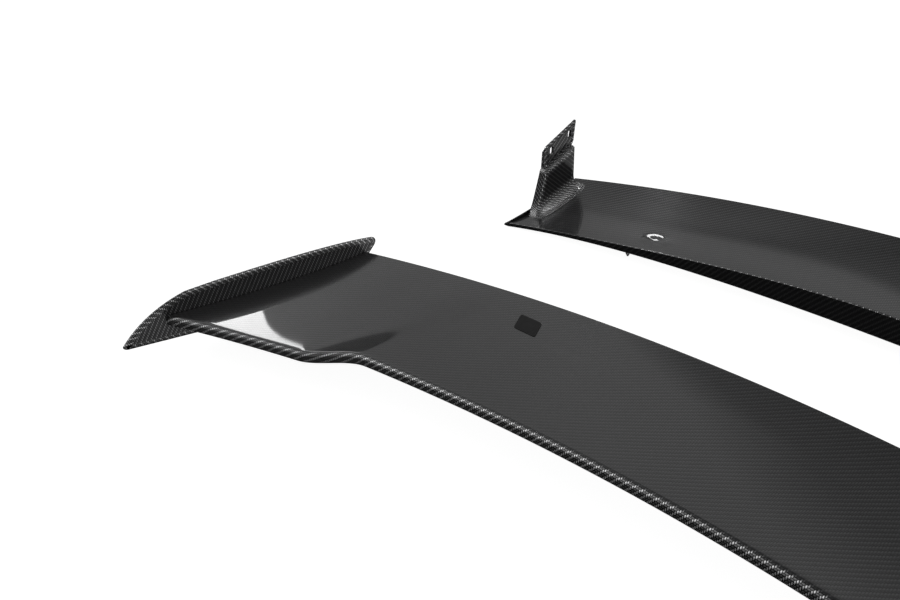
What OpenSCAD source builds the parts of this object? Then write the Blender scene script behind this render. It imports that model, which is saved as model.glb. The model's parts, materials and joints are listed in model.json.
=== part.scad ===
// Two-tier racing rear wing, laid out for fitting: the upper wing lies in front of the lower wing.
// X runs along the span, +Y points to the rear of the car, +Z is up, and both tiers stand on Z = 0.

/* [Upper blade] */
// Half span, from the centre to an end plate's inner face
half_span = 721.5; // [600:0.5:850]
// Chord at the centre, from the leading-edge bead's centre to the trailing edge
blade_chord = 201; // [150:1:260]
// Forward sweep of the leading edge between the centre and the ends, inner section
main_sweep = 99; // [40:1:130]
// Extra forward sweep of the two outer sections
outer_sweep = 48.6; // [0:0.1:70]
// Forward sweep of the trailing edge
te_sweep = 63; // [20:1:90]
// Radius of the rolled leading-edge bead
bead_r = 7; // [5:0.5:10]
// Height of the bead's centre at mid span
bead_z = 66; // [58:1:80]
// Drop of the bead's centre over the half span, following the arch
bead_drop = 12; // [0:1:20]
// Height of the ramp between the outer and inner sections, at the leading edge
ramp_h = 10; // [0:1:16]
// Distance from the end plate to the ramp's outer foot
ramp_from_end = 171.5; // [120:0.5:260]
// Width of the ramp
ramp_w = 75; // [40:1:120]
// Height of the trailing edge at mid span
te_z = 86; // [76:1:110]
// Drop of the trailing edge over the half span
te_drop = 40; // [10:1:44]
// Depth of the hollow in the blade's upper surface
hollow = 4; // [0:0.5:8]
// Fullness of the blade's underside
belly = 7; // [2:0.5:12]
// Thickness of the laminate skins
skin_t = 1.6; // [1:0.1:2.5]

/* [End plates] */
// Thickness of an end plate
plate_t = 6; // [4:0.5:10]
// Height of an end plate's top edge
plate_top_z = 74; // [66:1:90]
// Length of the end plate in front of the blade's leading edge
plate_nose = 63; // [40:1:90]
// Height of the end plate's pointed front tip
plate_tip_z = 27; // [20:1:34]

/* [Lower wing] */
// Distance from the upper bead to the lower leading edge at mid span, as laid out
layout_gap = 496.5; // [440:0.5:600]
// Chord of the lower wing at mid span
lower_chord = 144; // [110:1:180]
// Forward sweep of the lower leading edge
lower_sweep = 88; // [40:1:110]
// Forward sweep of the lower trailing edge
lower_te_sweep = 98; // [40:1:120]
// Height of the front band's lower edge at mid span
band_z = 17; // [12:0.5:24]
// Height of the front band at mid span
band_h = 37; // [24:1:50]
// Height of the front band at the pylons
band_end_h = 5; // [4:0.5:10]
// Height of the lower trailing edge at mid span
lower_te_z = 88; // [76:1:110]
// Drop of the lower trailing edge over the half span
lower_te_drop = 44; // [20:1:50]
// Reach of the pointed winglets past the pylons
winglet_w = 10; // [4:1:20]

/* [Pylons] */
// Thickness of a pylon
pylon_t = 15; // [13:0.5:22]
// Wall of the pylon's shell
pylon_wall = 2; // [1.5:0.1:3]
// Thickness of a mounting tab
tab_t = 3.5; // [2.5:0.1:5]
// Distance between the two slots of a tab
slot_pitch = 38.9; // [34:0.1:44]
// Slope of the slots' line, of the shoulder and of the tab's top, in degrees
pylon_slope = 26; // [20:0.5:30]
// Width of a slot
slot_w = 6.6; // [6.4:0.1:8.4]
// Length of a slot from end to end
slot_l = 12; // [10:0.5:14]

/* [Fixings] */
// Radius of the stand-off bosses on the end plates
boss_r = 6.5; // [5.5:0.1:8]
// Radius of a boss's spigot, which passes through the end plate
spigot_r = 4.5; // [4:0.1:5]
// Radial clearance of the pivot spigot in the end plate
pivot_gap = 0.05; // [0.02:0.01:0.1]
// Radius of the tapped hole in a boss
tapped_r = 2.5; // [2:0.1:3]
// Radius of the underside studs
stud_r = 3; // [2.5:0.5:4]
// Distance from the centre to the outer studs
stud_x = 566; // [400:1:620]
// Distance between the outer studs' two rows
stud_row = 50; // [40:1:60]
// Distance from the centre to the middle studs
mid_stud_x = 240; // [120:1:320]

/* [Hidden] */

carbon = [0.13, 0.13, 0.14];
foam_grey = [0.62, 0.6, 0.55];
steel = [0.7, 0.71, 0.73];
tape_black = [0.05, 0.05, 0.05];

stations = 48;             // steps of every spanwise loft, a multiple of four
rib_step = 6;              // a rib stands at every sixth station
bond_gap = 0.15;           // glue line between inner pieces and skins
face_gap = 0.5;            // from an end plate to the pylon beside it
boss_gap = 0.3;            // from a boss to the tab it meets
eps = 0.01;

// Places along Y, before the whole layout is centred
bead_y = 8.5;
te_y = bead_y + blade_chord;
outer_shift = 6.1;         // bead of the outer sections, as extended to the centre
lower_y = bead_y + layout_gap;
lower_te_y = lower_y + lower_chord;
root_bead_y = bead_y + outer_shift - main_sweep - outer_sweep;
root_te_y = te_y - te_sweep;
plate_tip_y = root_bead_y - plate_nose;
y_mid = (plate_tip_y + lower_te_y) / 2;

plate_out = half_span + plate_t;
pylon_in = plate_out + face_gap;
pylon_out = pylon_in + pylon_t;
tip_x = pylon_out + winglet_w;
tab_out = pylon_out - pylon_wall;
tab_in = tab_out - tab_t;

function smooth(t) = let (c = max(0, min(1, t))) c * c * (3 - 2 * c);
function mix(a, b, t) = a + (b - a) * t;

// ---- Upper blade: the bead's centre line, the trailing edge and the surfaces between them ----
function span(x) = pow(x / half_span, 2);
function outer(x) = smooth((abs(x) - (half_span - ramp_from_end - ramp_w)) / ramp_w);
function bead_cy(x) = bead_y + outer_shift * outer(x) - (main_sweep + outer_sweep * outer(x)) * span(x);
function bead_cz(x) = bead_z - bead_drop * span(x) - ramp_h * outer(x);
function edge_y(x) = te_y - te_sweep * span(x);
function edge_z(x) = te_z - te_drop * span(x);
function blade_y(x, t) = mix(bead_cy(x), edge_y(x), t);
function blade_top(x, t) = mix(bead_cz(x) + bead_r, edge_z(x), t) - hollow * 4 * t * (1 - t);
function blade_depth(t) = mix(2 * bead_r, 2 * skin_t, t) + belly * 4 * t * (1 - t);
function blade_low(x, t) = blade_top(x, t) - blade_depth(t);
// The chord fraction at which the blade passes a given Y
function blade_t(x, y) = (y - bead_cy(x)) / (edge_y(x) - bead_cy(x));

// ---- Lower wing: the front band, the top surface, the floor panel and the rear wall ----
function lspan(x) = pow(x / pylon_in, 2);
function band_y(x) = lower_y - lower_sweep * lspan(x);
function band_low(x) = band_z - (band_z - 0.5) * pow(abs(x) / tip_x, 6);
function band_tall(x) = mix(band_h, band_end_h, smooth((abs(x) / pylon_in - 0.22) / 0.74));
function lip_y(x) = band_y(x) - 0.3 * (band_tall(x) - band_end_h);
function lip_z(x) = band_low(x) + band_tall(x);
function tail_y(x) = lower_te_y - lower_te_sweep * lspan(x);
function tail_z(x) = lower_te_z - lower_te_drop * lspan(x);
function deck_y(x, t) = mix(lip_y(x), tail_y(x), t);
function deck_z(x, t) = mix(lip_z(x), tail_z(x), 0.15 * t + 0.85 * t * t);
function deck_at(x, y) = deck_z(x, (y - lip_y(x)) / (tail_y(x) - lip_y(x)));
function foot_y(x) = mix(band_y(x), tail_y(x), 0.5);
function foot_z(x) = band_low(x) + 4;
function floor_at(x, y) = mix(band_low(x), foot_z(x), (y - band_y(x)) / (foot_y(x) - band_y(x)));

// Pylon: the shoulder, the tab and its slots follow one slope, set out from the front slot
slot_y = lower_y - 14;
slot_z = lower_te_z - lower_te_drop + 55;
slope_dir = [cos(pylon_slope), sin(pylon_slope)];
front_slot = [slot_y, slot_z];
rear_slot = front_slot + slot_pitch * slope_dir;
function on_slope(along, up) = front_slot + along * slope_dir + [0, up];
shoulder_drop = 15;
shoulder_front = on_slope(-23, -shoulder_drop);
shoulder_rear = on_slope(slot_pitch + 3, -shoulder_drop);
base_front_y = slot_y - 39;
base_rear_y = slot_y + 42;

// Bosses: where the slots' centres lie on the end plate, as laid out
front_boss = [bead_y + 11.5, 16];
rear_boss = front_boss + slot_pitch * slope_dir;

// ---- Shapes shared by many sub-parts ----
// A closed solid through rings of points, all with the same count. The rings follow each other
// towards +X, and each runs clockwise as seen from +X.
module loft(rings) {
    n = len(rings[0]);
    m = len(rings);
    polyhedron(
        points = [for (ring = rings) for (p = ring) p],
        faces = concat(
            [[for (j = [n - 1:-1:0]) j]],
            [for (i = [0:m - 2]) for (j = [0:n - 1])
                let (a = i * n + j, b = i * n + (j + 1) % n) [b, a + n, a]],
            [for (i = [0:m - 2]) for (j = [0:n - 1])
                let (a = i * n + j, b = i * n + (j + 1) % n) [b + n, a + n, b]],
            [[for (j = [0:n - 1]) (m - 1) * n + j]]
        ));
}

function ring_at(x, outline) = [for (p = outline) [x, p[0] - y_mid, p[1]]];
function station(k, half) = half * (2 * k / stations - 1);
function back_to_front(list) = [for (i = [len(list) - 1:-1:0]) list[i]];

// A flat plate in the YZ plane, from x0 to x0 + t
module side_plate(x0, t, outline) {
    translate([x0, -y_mid, 0]) rotate([90, 0, 90]) linear_extrude(t) polygon(outline);
}

module rod(x0, length, r, at) {
    translate([x0, at[0] - y_mid, at[1]]) rotate([0, 90, 0]) cylinder(h = length, r = r, $fn = 48);
}

module slot_cut(x0, length, at) {
    for (up = [-1, 1]) rod(x0, length, slot_w / 2, at + [0, up * (slot_l - slot_w) / 2]);
    translate([x0, at[0] - slot_w / 2 - y_mid, at[1] - (slot_l - slot_w) / 2])
        cube([length, slot_w, slot_l - slot_w]);
}

// Each skin is laid up in four panels that butt together, an inner and an outer one on either side.
// These are the stations of one of them.
function panel_steps(side, outer) = let (quarter = stations / 4,
    first = (side < 0 ? (outer ? 0 : 1) : (outer ? 3 : 2)) * quarter) [first:first + quarter];

module on_side(side) {
    if (side < 0) mirror([1, 0, 0]) children();
    else children();
}

// ---- Upper wing ----
function top_skin_outline(x) = concat(
    [for (a = [-80:28:60]) [bead_cy(x) - bead_r * cos(a), bead_cz(x) + bead_r * sin(a)]],
    [for (t = [0:0.1:1.001]) [blade_y(x, t), blade_top(x, t)]],
    back_to_front([for (t = [0:0.1:1.001]) [blade_y(x, t), blade_top(x, t) - skin_t]]),
    back_to_front([for (a = [-80:28:60])
        [bead_cy(x) - (bead_r - skin_t) * cos(a), bead_cz(x) + (bead_r - skin_t) * sin(a)]]));

module upper_top_skin(side, outer) {
    color(carbon)
        loft([for (k = panel_steps(side, outer)) let (x = station(k, half_span)) ring_at(x, top_skin_outline(x))]);
}

bottom_front_t = 0.02;
bottom_ts = concat([bottom_front_t], [for (t = [0.1:0.1:1.001]) t]);
function bottom_skin_outline(x) = concat(
    [for (t = bottom_ts) [blade_y(x, t), blade_low(x, t) + skin_t]],
    back_to_front([for (t = bottom_ts) [blade_y(x, t), blade_low(x, t)]]));

module upper_bottom_skin(side, outer) {
    color(carbon)
        loft([for (k = panel_steps(side, outer)) let (x = station(k, half_span)) ring_at(x, bottom_skin_outline(x))]);
}

// A web between the two skins, w wide, behind the chord fraction t. It shares the skins' stations
// and ends one short of the last, beside the root block.
module blade_spar(t, w) {
    color(carbon) loft([for (k = [1:stations - 1])
        let (x = station(k, half_span), y = blade_y(x, t), t2 = blade_t(x, y + w),
            g = skin_t + 2 * bond_gap)
        ring_at(x, [[y, blade_low(x, t) + g], [y, blade_top(x, t) - g],
            [y + w, blade_top(x, t2) - g], [y + w, blade_low(x, t2) + g]])]);
}

front_spar_t = 0.1;
rear_spar_t = 0.6;
spar_w = 2.5;
root_block_w = 22;

module upper_front_spar() { blade_spar(front_spar_t, spar_w); }
module upper_rear_spar() { blade_spar(rear_spar_t, spar_w); }

// The space between the skins from chord fraction t0 to t1, less a glue line
function core_outline(x, t0, t1, gap) = concat(
    [for (k = [0:6]) let (t = mix(t0, t1, k / 6)) [blade_y(x, t), blade_top(x, t) - skin_t - gap]],
    back_to_front([for (k = [0:6]) let (t = mix(t0, t1, k / 6)) [blade_y(x, t), blade_low(x, t) + skin_t + gap]]));

module upper_ribs() {
    rib_w = 3;
    spar_gap = 0.9;        // to the spars, which run askew across a rib's width
    color(carbon) for (k = [rib_step:rib_step:stations - rib_step])
        let (x = station(k, half_span),
            t0 = blade_t(x, blade_y(x, front_spar_t) + spar_w + spar_gap),
            t1 = blade_t(x, blade_y(x, rear_spar_t) - spar_gap))
            loft([for (dx = [-rib_w / 2, rib_w / 2])
                ring_at(x + dx, core_outline(x, t0, t1, 2 * bond_gap))]);
}

// A sheared block with a straight top: its outer face is its inner face moved by the blade's mean drift,
// so every side is flat
root_block_gap = 1.1;      // covers the part of the drift that differs along the chord
module root_block(side) {
    x0 = half_span - root_block_w;
    t0 = 0.12;
    t1 = 0.65;
    top_drop = skin_t + root_block_gap + hollow * (t1 - t0) * (t1 - t0);
    inner = concat([for (t = [t0, t1]) [blade_y(x0, t), blade_top(x0, t) - top_drop]],
        [for (k = [6:-1:0]) let (t = mix(t0, t1, k / 6)) [blade_y(x0, t), blade_low(x0, t) + skin_t + root_block_gap]]);
    drift = ([bead_cy(half_span) + edge_y(half_span), bead_cz(half_span) + edge_z(half_span)]
        - [bead_cy(x0) + edge_y(x0), bead_cz(x0) + edge_z(x0)]) / 2;
    color(foam_grey) on_side(side) loft([ring_at(x0, inner), ring_at(half_span, [for (p = inner) p + drift])]);
}

// Outline of an end plate: a pointed nose that curves up, a straight top and a leaning rear edge
function bend(a, b, c, n) = [for (k = [0:n]) let (t = k / n)
    (1 - t) * (1 - t) * a + 2 * t * (1 - t) * b + t * t * c];
plate_rear_y = root_te_y + 17;
plate_foot_y = root_te_y - 20;
plate_outline = concat(
    [[root_te_y - 76, 0]],
    [[plate_tip_y + 4, plate_tip_z - 3]],
    bend([plate_tip_y, plate_tip_z], [plate_tip_y + 30, plate_top_z - 12], [root_bead_y + 22, plate_top_z - 1], 10),
    bend([root_bead_y + 60, plate_top_z], [root_te_y - 60, plate_top_z], [root_te_y, plate_top_z - 8], 6),
    bend([plate_rear_y - 5, plate_top_z - 9.5], [plate_rear_y + 3, plate_top_z - 13],
        [plate_rear_y - 3, plate_top_z - 21], 5),
    bend([root_te_y, 38], [plate_foot_y + 10, 4], [plate_foot_y, 0], 5));

module end_plate(side) {
    color(carbon) on_side(side) difference() {
        side_plate(half_span, plate_t, plate_outline);
        rod(half_span - 1, plate_t + 2, spigot_r + pivot_gap, front_boss);
        rod(half_span - 1, plate_t + 2, spigot_r, rear_boss);
    }
}

// Small blank cover on the left half of the blade, near the trailing edge
label_x = -412;
label_y = 137;
label_size = [32, 30];
label_t = 0.6;
module label_plate() {
    color(tape_black) loft([for (dx = [-1, 0, 1])
        let (x = label_x + dx * label_size[0] / 2,
            line = [for (dy = [-1, 0, 1]) let (y = label_y + dy * label_size[1] / 2)
                [y, blade_top(x, blade_t(x, y)) + 0.1]])
        ring_at(x, concat([for (p = line) p + [0, label_t]], back_to_front(line)))]);
}

// Stand-off boss with a spigot through the end plate and a tapped hole from outboard
boss_l = tab_in - plate_out - boss_gap;
boss_seat = 0.1;           // from the pivot boss's shoulder to the end plate
module boss(side, at, seat, spigot_l) {
    color(steel) on_side(side) difference() {
        union() {
            rod(plate_out + seat, boss_l - seat, boss_r, at);
            rod(plate_out - spigot_l, spigot_l + seat + eps, spigot_r, at);
        }
        rod(plate_out - 2, boss_l + 3, tapped_r, at);
    }
}
module angle_boss(side) { boss(side, rear_boss, 0, plate_t); }
module pivot_boss(side) { boss(side, front_boss, boss_seat, plate_t + clip_t + 0.3); }

// Retaining washer on the pivot boss's inner end
clip_t = 1.2;
module pivot_clip(side) {
    color(steel) on_side(side) difference() {
        rod(half_span - clip_t - 0.2, clip_t, spigot_r + 3.5, front_boss);
        rod(half_span - clip_t - 1, clip_t + 2, spigot_r, front_boss);
    }
}

// ---- Lower wing ----
// The front band bulges a little at mid height
function band_middle(x) = [mix(band_y(x), lip_y(x), 0.5) - 0.4, mix(band_low(x), lip_z(x), 0.5)];
function deck_outline(x) = concat(
    [[band_y(x), band_low(x)], band_middle(x)],
    [for (t = [0:0.1:1.001]) [deck_y(x, t), deck_z(x, t)]],
    back_to_front([for (t = [0:0.1:1.001])
        [deck_y(x, t) + skin_t * (1 - t), deck_z(x, t) - skin_t]]),
    [band_middle(x) + [skin_t, 0], [band_y(x) + skin_t, band_low(x)]]);

module lower_top_skin(side, outer) {
    color(carbon)
        loft([for (k = panel_steps(side, outer)) let (x = station(k, pylon_out)) ring_at(x, deck_outline(x))]);
}

panel_in = skin_t + bond_gap;
module lower_bottom_panel() {
    color(carbon) loft([for (k = [0:stations])
        let (x = station(k, pylon_out), y0 = band_y(x) + panel_in, y1 = foot_y(x),
            ys = [y0, mix(y0, y1, 0.33), mix(y0, y1, 0.67), y1])
        ring_at(x, concat([for (y = ys) [y, floor_at(x, y) + skin_t]],
            back_to_front([for (y = ys) [y, floor_at(x, y)]])))]);
}

module lower_rear_wall() {
    color(carbon) loft([for (k = [0:stations])
        let (x = station(k, pylon_out), y0 = foot_y(x), z0 = foot_z(x) + skin_t + bond_gap,
            y1 = tail_y(x) - 5, z1 = deck_at(x, y1) - skin_t - 2 * bond_gap,
            y2 = y1 - 2 * skin_t, z2 = deck_at(x, y2) - skin_t - 2 * bond_gap)
        ring_at(x, [[y0 - 2 * skin_t, z0], [y2, z2], [y1, z1], [y0, z0]])]);
}

module lower_ribs() {
    rib_w = 3;
    inset = 2.5;
    color(carbon) for (k = [rib_step:rib_step:stations - rib_step])
        let (x = station(k, pylon_out), y0 = band_y(x) + inset, y1 = foot_y(x) - 2 * inset,
            gap = skin_t + 3 * bond_gap)
            loft([for (dx = [-rib_w / 2, rib_w / 2])
                ring_at(x + dx, concat(
                    [for (u = [0:0.25:1]) let (y = mix(y0, y1, u)) [y, deck_at(x, y) - gap]],
                    [[y1, floor_at(x, y1) + gap], [y0, floor_at(x, y0) + gap]]))]);
}

// Pointed lip that carries the front band's line past the pylon
module winglet(side) {
    x0 = pylon_out + eps;
    root = [[band_y(x0), band_low(x0)], [band_y(x0) - 1, lip_z(x0) - 1], [band_y(x0) + 12, lip_z(x0) + 4],
        [base_front_y - 4, lip_z(x0) + 9], [base_front_y - 4, band_low(x0) + 3]];
    tip_y = band_y(tip_x) + 4;
    tip = [[tip_y, 0.4], [tip_y, 1.1], [tip_y + 1, 1.6], [tip_y + 2, 1.6], [tip_y + 2, 0.6]];
    color(carbon) on_side(side) loft([ring_at(x0, root), ring_at(tip_x, tip)]);
}

// Outline of a pylon at x, standing on the deck, inset all round by w
function pylon_outline(x, w) = concat(
    [shoulder_front + [w, -w * 1.1], shoulder_rear + [-w, -w * 1.1]],
    [for (k = [8:-1:0]) let (y = mix(base_front_y + w, base_rear_y - w, k / 8)) [y, deck_at(x, y) + bond_gap + w]]);

tab_outline = concat(
    [on_slope(-16, -26), on_slope(slot_pitch + 0.5, -26), on_slope(slot_pitch + 9, -shoulder_drop)],
    bend(on_slope(slot_pitch + 12, 8), on_slope(slot_pitch + 14, 17), on_slope(slot_pitch + 8, 15), 5),
    [on_slope(-13, 14), on_slope(-15.5, 12)]);
// The shell's outer wall runs up beside the tab and stops short of its top
cheek_outline = [on_slope(-19, -shoulder_drop - 1), on_slope(slot_pitch + 2, -shoulder_drop - 1),
    on_slope(slot_pitch + 8, 8), on_slope(-17, 9)];

module pylon(side) {
    color(carbon) on_side(side) difference() {
        union() {
            loft([for (x = [pylon_in, pylon_out]) ring_at(x, pylon_outline(x, 0))]);
            side_plate(tab_out, pylon_wall, cheek_outline);
        }
        loft([for (x = [pylon_in + pylon_wall, tab_out]) ring_at(x, pylon_outline(x, pylon_wall))]);
        side_plate(tab_in, tab_t, tab_outline);
        for (at = [front_slot, rear_slot]) slot_cut(tab_in - 1, pylon_wall + tab_t + 2, at);
    }
}

module pylon_core(side) {
    gap = pylon_wall + bond_gap;
    color(foam_grey) on_side(side)
        loft([for (x = [pylon_in + gap, tab_in - bond_gap]) ring_at(x, pylon_outline(x, gap))]);
}

module mounting_tab(side) {
    color(carbon) on_side(side) difference() {
        side_plate(tab_in, tab_t, tab_outline);
        for (at = [front_slot, rear_slot]) slot_cut(tab_in - 1, tab_t + 2, at);
    }
}

// Tape strips: distance from the leading edge, and width
tape_front = [3, 4];
tape_rear = [40, 6];

// Studs: two rows near each end and one pair near the middle, which stands clear behind the rear tape
pad_r = 12;
pad_gap = 0.5;
mid_stud_in = tape_rear[0] + tape_rear[1] + pad_r + pad_gap;
stud_front_y = band_y(stud_x) + 20;
stud_places = [for (sx = [-1, 1]) each [[sx * stud_x, stud_front_y], [sx * stud_x, stud_front_y + stud_row],
    [sx * mid_stud_x, band_y(mid_stud_x) + mid_stud_in]]];
pad_t = 3;
pad_bed = 1;               // adhesive between a flat pad and the sloping floor
function pad_low(p) = floor_at(p[0], p[1]) - pad_bed - pad_t;
module stud_pads() {
    color(steel) for (p = stud_places)
        translate([p[0], p[1] - y_mid, pad_low(p)]) cylinder(h = pad_t, r = pad_r, $fn = 48);
}
module mounting_studs() {
    point = 4;
    color(steel) for (p = stud_places) translate([p[0], p[1] - y_mid, 0]) {
        cylinder(h = point, r1 = 1, r2 = stud_r, $fn = 32);
        translate([0, 0, point]) cylinder(h = pad_low(p) - point, r = stud_r, $fn = 32);
    }
}

// Double-sided tape under the floor panel, along y0 + offset from the band
tape_t = 1;
module tape_strip(offset_y, w) {
    color(tape_black) loft([for (k = [0:stations])
        let (x = station(k, pylon_in - 40), y = band_y(x) + offset_y,
            z0 = floor_at(x, y) - bond_gap, z1 = floor_at(x, y + w) - bond_gap)
        ring_at(x, [[y, z0], [y + w, z1], [y + w, z1 - tape_t], [y, z0 - tape_t]])]);
}
module tape_strip_front() { tape_strip(tape_front[0], tape_front[1]); }
module tape_strip_rear() { tape_strip(tape_rear[0], tape_rear[1]); }

upper_top_skin(-1, true);  // upper_top_skin_left_outer
upper_top_skin(-1, false);  // upper_top_skin_left_inner
upper_top_skin(1, false);  // upper_top_skin_right_inner
upper_top_skin(1, true);  // upper_top_skin_right_outer
upper_bottom_skin(-1, true);  // upper_bottom_skin_left_outer
upper_bottom_skin(-1, false);  // upper_bottom_skin_left_inner
upper_bottom_skin(1, false);  // upper_bottom_skin_right_inner
upper_bottom_skin(1, true);  // upper_bottom_skin_right_outer
upper_front_spar();
upper_rear_spar();
upper_ribs();
root_block(-1);  // root_block_left
root_block(1);  // root_block_right
end_plate(-1);  // end_plate_left
end_plate(1);  // end_plate_right
label_plate();
angle_boss(-1);  // angle_boss_left
angle_boss(1);  // angle_boss_right
pivot_boss(-1);  // pivot_boss_left
pivot_boss(1);  // pivot_boss_right
pivot_clip(-1);  // pivot_clip_left
pivot_clip(1);  // pivot_clip_right
lower_top_skin(-1, true);  // lower_top_skin_left_outer
lower_top_skin(-1, false);  // lower_top_skin_left_inner
lower_top_skin(1, false);  // lower_top_skin_right_inner
lower_top_skin(1, true);  // lower_top_skin_right_outer
lower_bottom_panel();
lower_rear_wall();
lower_ribs();
winglet(-1);  // winglet_left
winglet(1);  // winglet_right
pylon(-1);  // pylon_left
pylon(1);  // pylon_right
pylon_core(-1);  // pylon_core_left
pylon_core(1);  // pylon_core_right
mounting_tab(-1);  // mounting_tab_left
mounting_tab(1);  // mounting_tab_right
stud_pads();
mounting_studs();
tape_strip_front();
tape_strip_rear();
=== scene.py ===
# Two-tier carbon racing rear wing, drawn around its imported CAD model.
# Shapes are worked out in millimetres and written to the meshes in metres.
import json
import math

import bpy
import numpy as np
from mathutils.geometry import tessellate_polygon
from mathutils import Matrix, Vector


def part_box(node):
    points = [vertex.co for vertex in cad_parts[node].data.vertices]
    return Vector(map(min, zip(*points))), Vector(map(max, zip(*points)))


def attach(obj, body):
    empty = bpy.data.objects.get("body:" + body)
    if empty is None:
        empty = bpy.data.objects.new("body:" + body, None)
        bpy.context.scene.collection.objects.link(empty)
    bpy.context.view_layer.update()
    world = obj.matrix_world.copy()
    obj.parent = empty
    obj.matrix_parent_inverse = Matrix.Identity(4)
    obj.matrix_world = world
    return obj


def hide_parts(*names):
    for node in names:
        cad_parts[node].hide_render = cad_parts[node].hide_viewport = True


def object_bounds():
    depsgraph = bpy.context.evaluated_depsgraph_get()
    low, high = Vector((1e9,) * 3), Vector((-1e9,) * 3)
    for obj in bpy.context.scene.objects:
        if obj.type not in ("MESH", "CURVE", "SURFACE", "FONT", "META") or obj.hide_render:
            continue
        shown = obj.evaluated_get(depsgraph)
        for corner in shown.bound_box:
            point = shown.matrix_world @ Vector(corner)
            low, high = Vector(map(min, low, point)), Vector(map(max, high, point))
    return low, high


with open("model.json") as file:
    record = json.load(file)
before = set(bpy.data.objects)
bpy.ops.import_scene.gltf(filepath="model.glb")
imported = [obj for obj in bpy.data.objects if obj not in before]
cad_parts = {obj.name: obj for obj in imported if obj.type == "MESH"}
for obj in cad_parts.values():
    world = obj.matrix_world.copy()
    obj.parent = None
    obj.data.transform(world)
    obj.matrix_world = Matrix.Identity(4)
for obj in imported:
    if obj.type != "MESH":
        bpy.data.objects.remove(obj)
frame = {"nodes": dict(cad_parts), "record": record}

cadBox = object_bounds()
mm = 0.001
print("frame loaded:", len(frame["nodes"]), "nodes")


def boxMm(node):
    low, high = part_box(node)
    return np.array(low) / mm, np.array(high) / mm


camera = {
    "place": (0.4602, -0.9359, 0.7143),
    "turn": (63.18, 0.0, 49.88),   # degrees
    "lens": 49.96,
    "sensor": 36.0,
}


def addCamera():
    data = bpy.data.cameras.new("camera")
    data.lens = camera["lens"]
    data.sensor_width = camera["sensor"]
    data.clip_start = 0.01
    obj = bpy.data.objects.new("camera", data)
    obj.location = camera["place"]
    obj.rotation_euler = [math.radians(a) for a in camera["turn"]]
    bpy.context.scene.collection.objects.link(obj)
    bpy.context.scene.camera = obj


addCamera()
print("camera placed")


plateBox = boxMm("end_plate_right")
pylonBox = boxMm("pylon_right")
skinThickness = 1.6

upper = {
    "beadY": 8.5,          # bead centre at mid span, before the layout is centred
    "chord": 201.0,
    "mainSweep": 99.0,
    "outerSweep": 48.6,
    "outerShift": 6.1,
    "teSweep": 63.0,
    "beadR": 7.0,
    "beadZ": 66.0,
    "beadDrop": 12.0,
    "rampH": 10.0,
    "rampFromEnd": 171.5,
    "rampW": 75.0,
    "teZ": 86.0,
    "teDrop": 40.0,
    "hollow": 4.0,
    "belly": 7.0,
    "curl": 1.6,
    "curlFrom": 0.7,
    "halfSpan": plateBox[0][0],
}

lower = {
    "leadY": 505.0,        # leading edge at mid span, before the layout is centred
    "chord": 144.0,
    "sweep": 88.0,
    "teSweep": 98.0,
    "bandZ": 17.0,
    "bandH": 37.0,
    "bandEndH": 5.0,
    "bulge": 0.4,
    "teZ": 88.0,
    "teDrop": 44.0,
    "halfSpan": pylonBox[0][0],
    "end": pylonBox[1][0],
    "tip": cadBox[1].x / mm,
}

# The laid-out set is centred along Y, which the lower trailing edge shows
midY = lower["leadY"] + lower["chord"] - cadBox[1].y / mm


def smooth(t):
    c = np.clip(t, 0, 1)
    return c * c * (3 - 2 * c)


def mix(a, b, t):
    return a + (b - a) * t


# Sweep and drop grow with the square of the distance from mid span. The outer sections stand apart by
# an eased step, the ramp, which outerShare takes from 0 to 1.
def spanShare(x):
    return (x / upper["halfSpan"]) ** 2


def outerShare(x):
    start = upper["halfSpan"] - upper["rampFromEnd"] - upper["rampW"]
    return smooth((np.abs(x) - start) / upper["rampW"])


def beadY(x):
    sweep = upper["mainSweep"] + upper["outerSweep"] * outerShare(x)
    return upper["beadY"] - midY + upper["outerShift"] * outerShare(x) - sweep * spanShare(x)


def beadZ(x):
    return upper["beadZ"] - upper["beadDrop"] * spanShare(x) - upper["rampH"] * outerShare(x)


def edgeY(x):
    return upper["beadY"] + upper["chord"] - midY - upper["teSweep"] * spanShare(x)


def edgeZ(x):
    return upper["teZ"] - upper["teDrop"] * spanShare(x)


def bladeY(x, t):
    return mix(beadY(x), edgeY(x), t)


# The top is a straight chord less a hollow of 4 t (1 - t), and from curlFrom on it curls up as a square.
def bladeTop(x, t):
    hollow = upper["hollow"] * 4 * t * (1 - t)
    curl = upper["curl"] * np.clip((t - upper["curlFrom"]) / (1 - upper["curlFrom"]), 0, 1) ** 2
    return mix(beadZ(x) + upper["beadR"], edgeZ(x), t) - hollow + curl


def bladeLow(x, t):
    depth = mix(2 * upper["beadR"], 2 * skinThickness, t) + upper["belly"] * 4 * t * (1 - t)
    return bladeTop(x, t) - depth


def bladeShare(x, y):
    return (y - beadY(x)) / (edgeY(x) - beadY(x))


def lowerShare(x):
    return (x / lower["halfSpan"]) ** 2


def bandY(x):
    return lower["leadY"] - midY - lower["sweep"] * lowerShare(x)


def bandLow(x):
    return lower["bandZ"] - (lower["bandZ"] - 0.5) * (np.abs(x) / lower["tip"]) ** 6


def bandTall(x):
    return mix(lower["bandH"], lower["bandEndH"], smooth((np.abs(x) / lower["halfSpan"] - 0.22) / 0.74))


def lipY(x):
    return bandY(x) - 0.3 * (bandTall(x) - lower["bandEndH"])


def lipZ(x):
    return bandLow(x) + bandTall(x)


def tailY(x):
    return lower["leadY"] + lower["chord"] - midY - lower["teSweep"] * lowerShare(x)


def tailZ(x):
    return lower["teZ"] - lower["teDrop"] * lowerShare(x)


def deckY(x, t):
    return mix(lipY(x), tailY(x), t)


def deckZ(x, t):
    return mix(lipZ(x), tailZ(x), 0.15 * t + 0.85 * t * t)


def deckAt(x, y):
    return deckZ(x, (y - lipY(x)) / (tailY(x) - lipY(x)))


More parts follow.
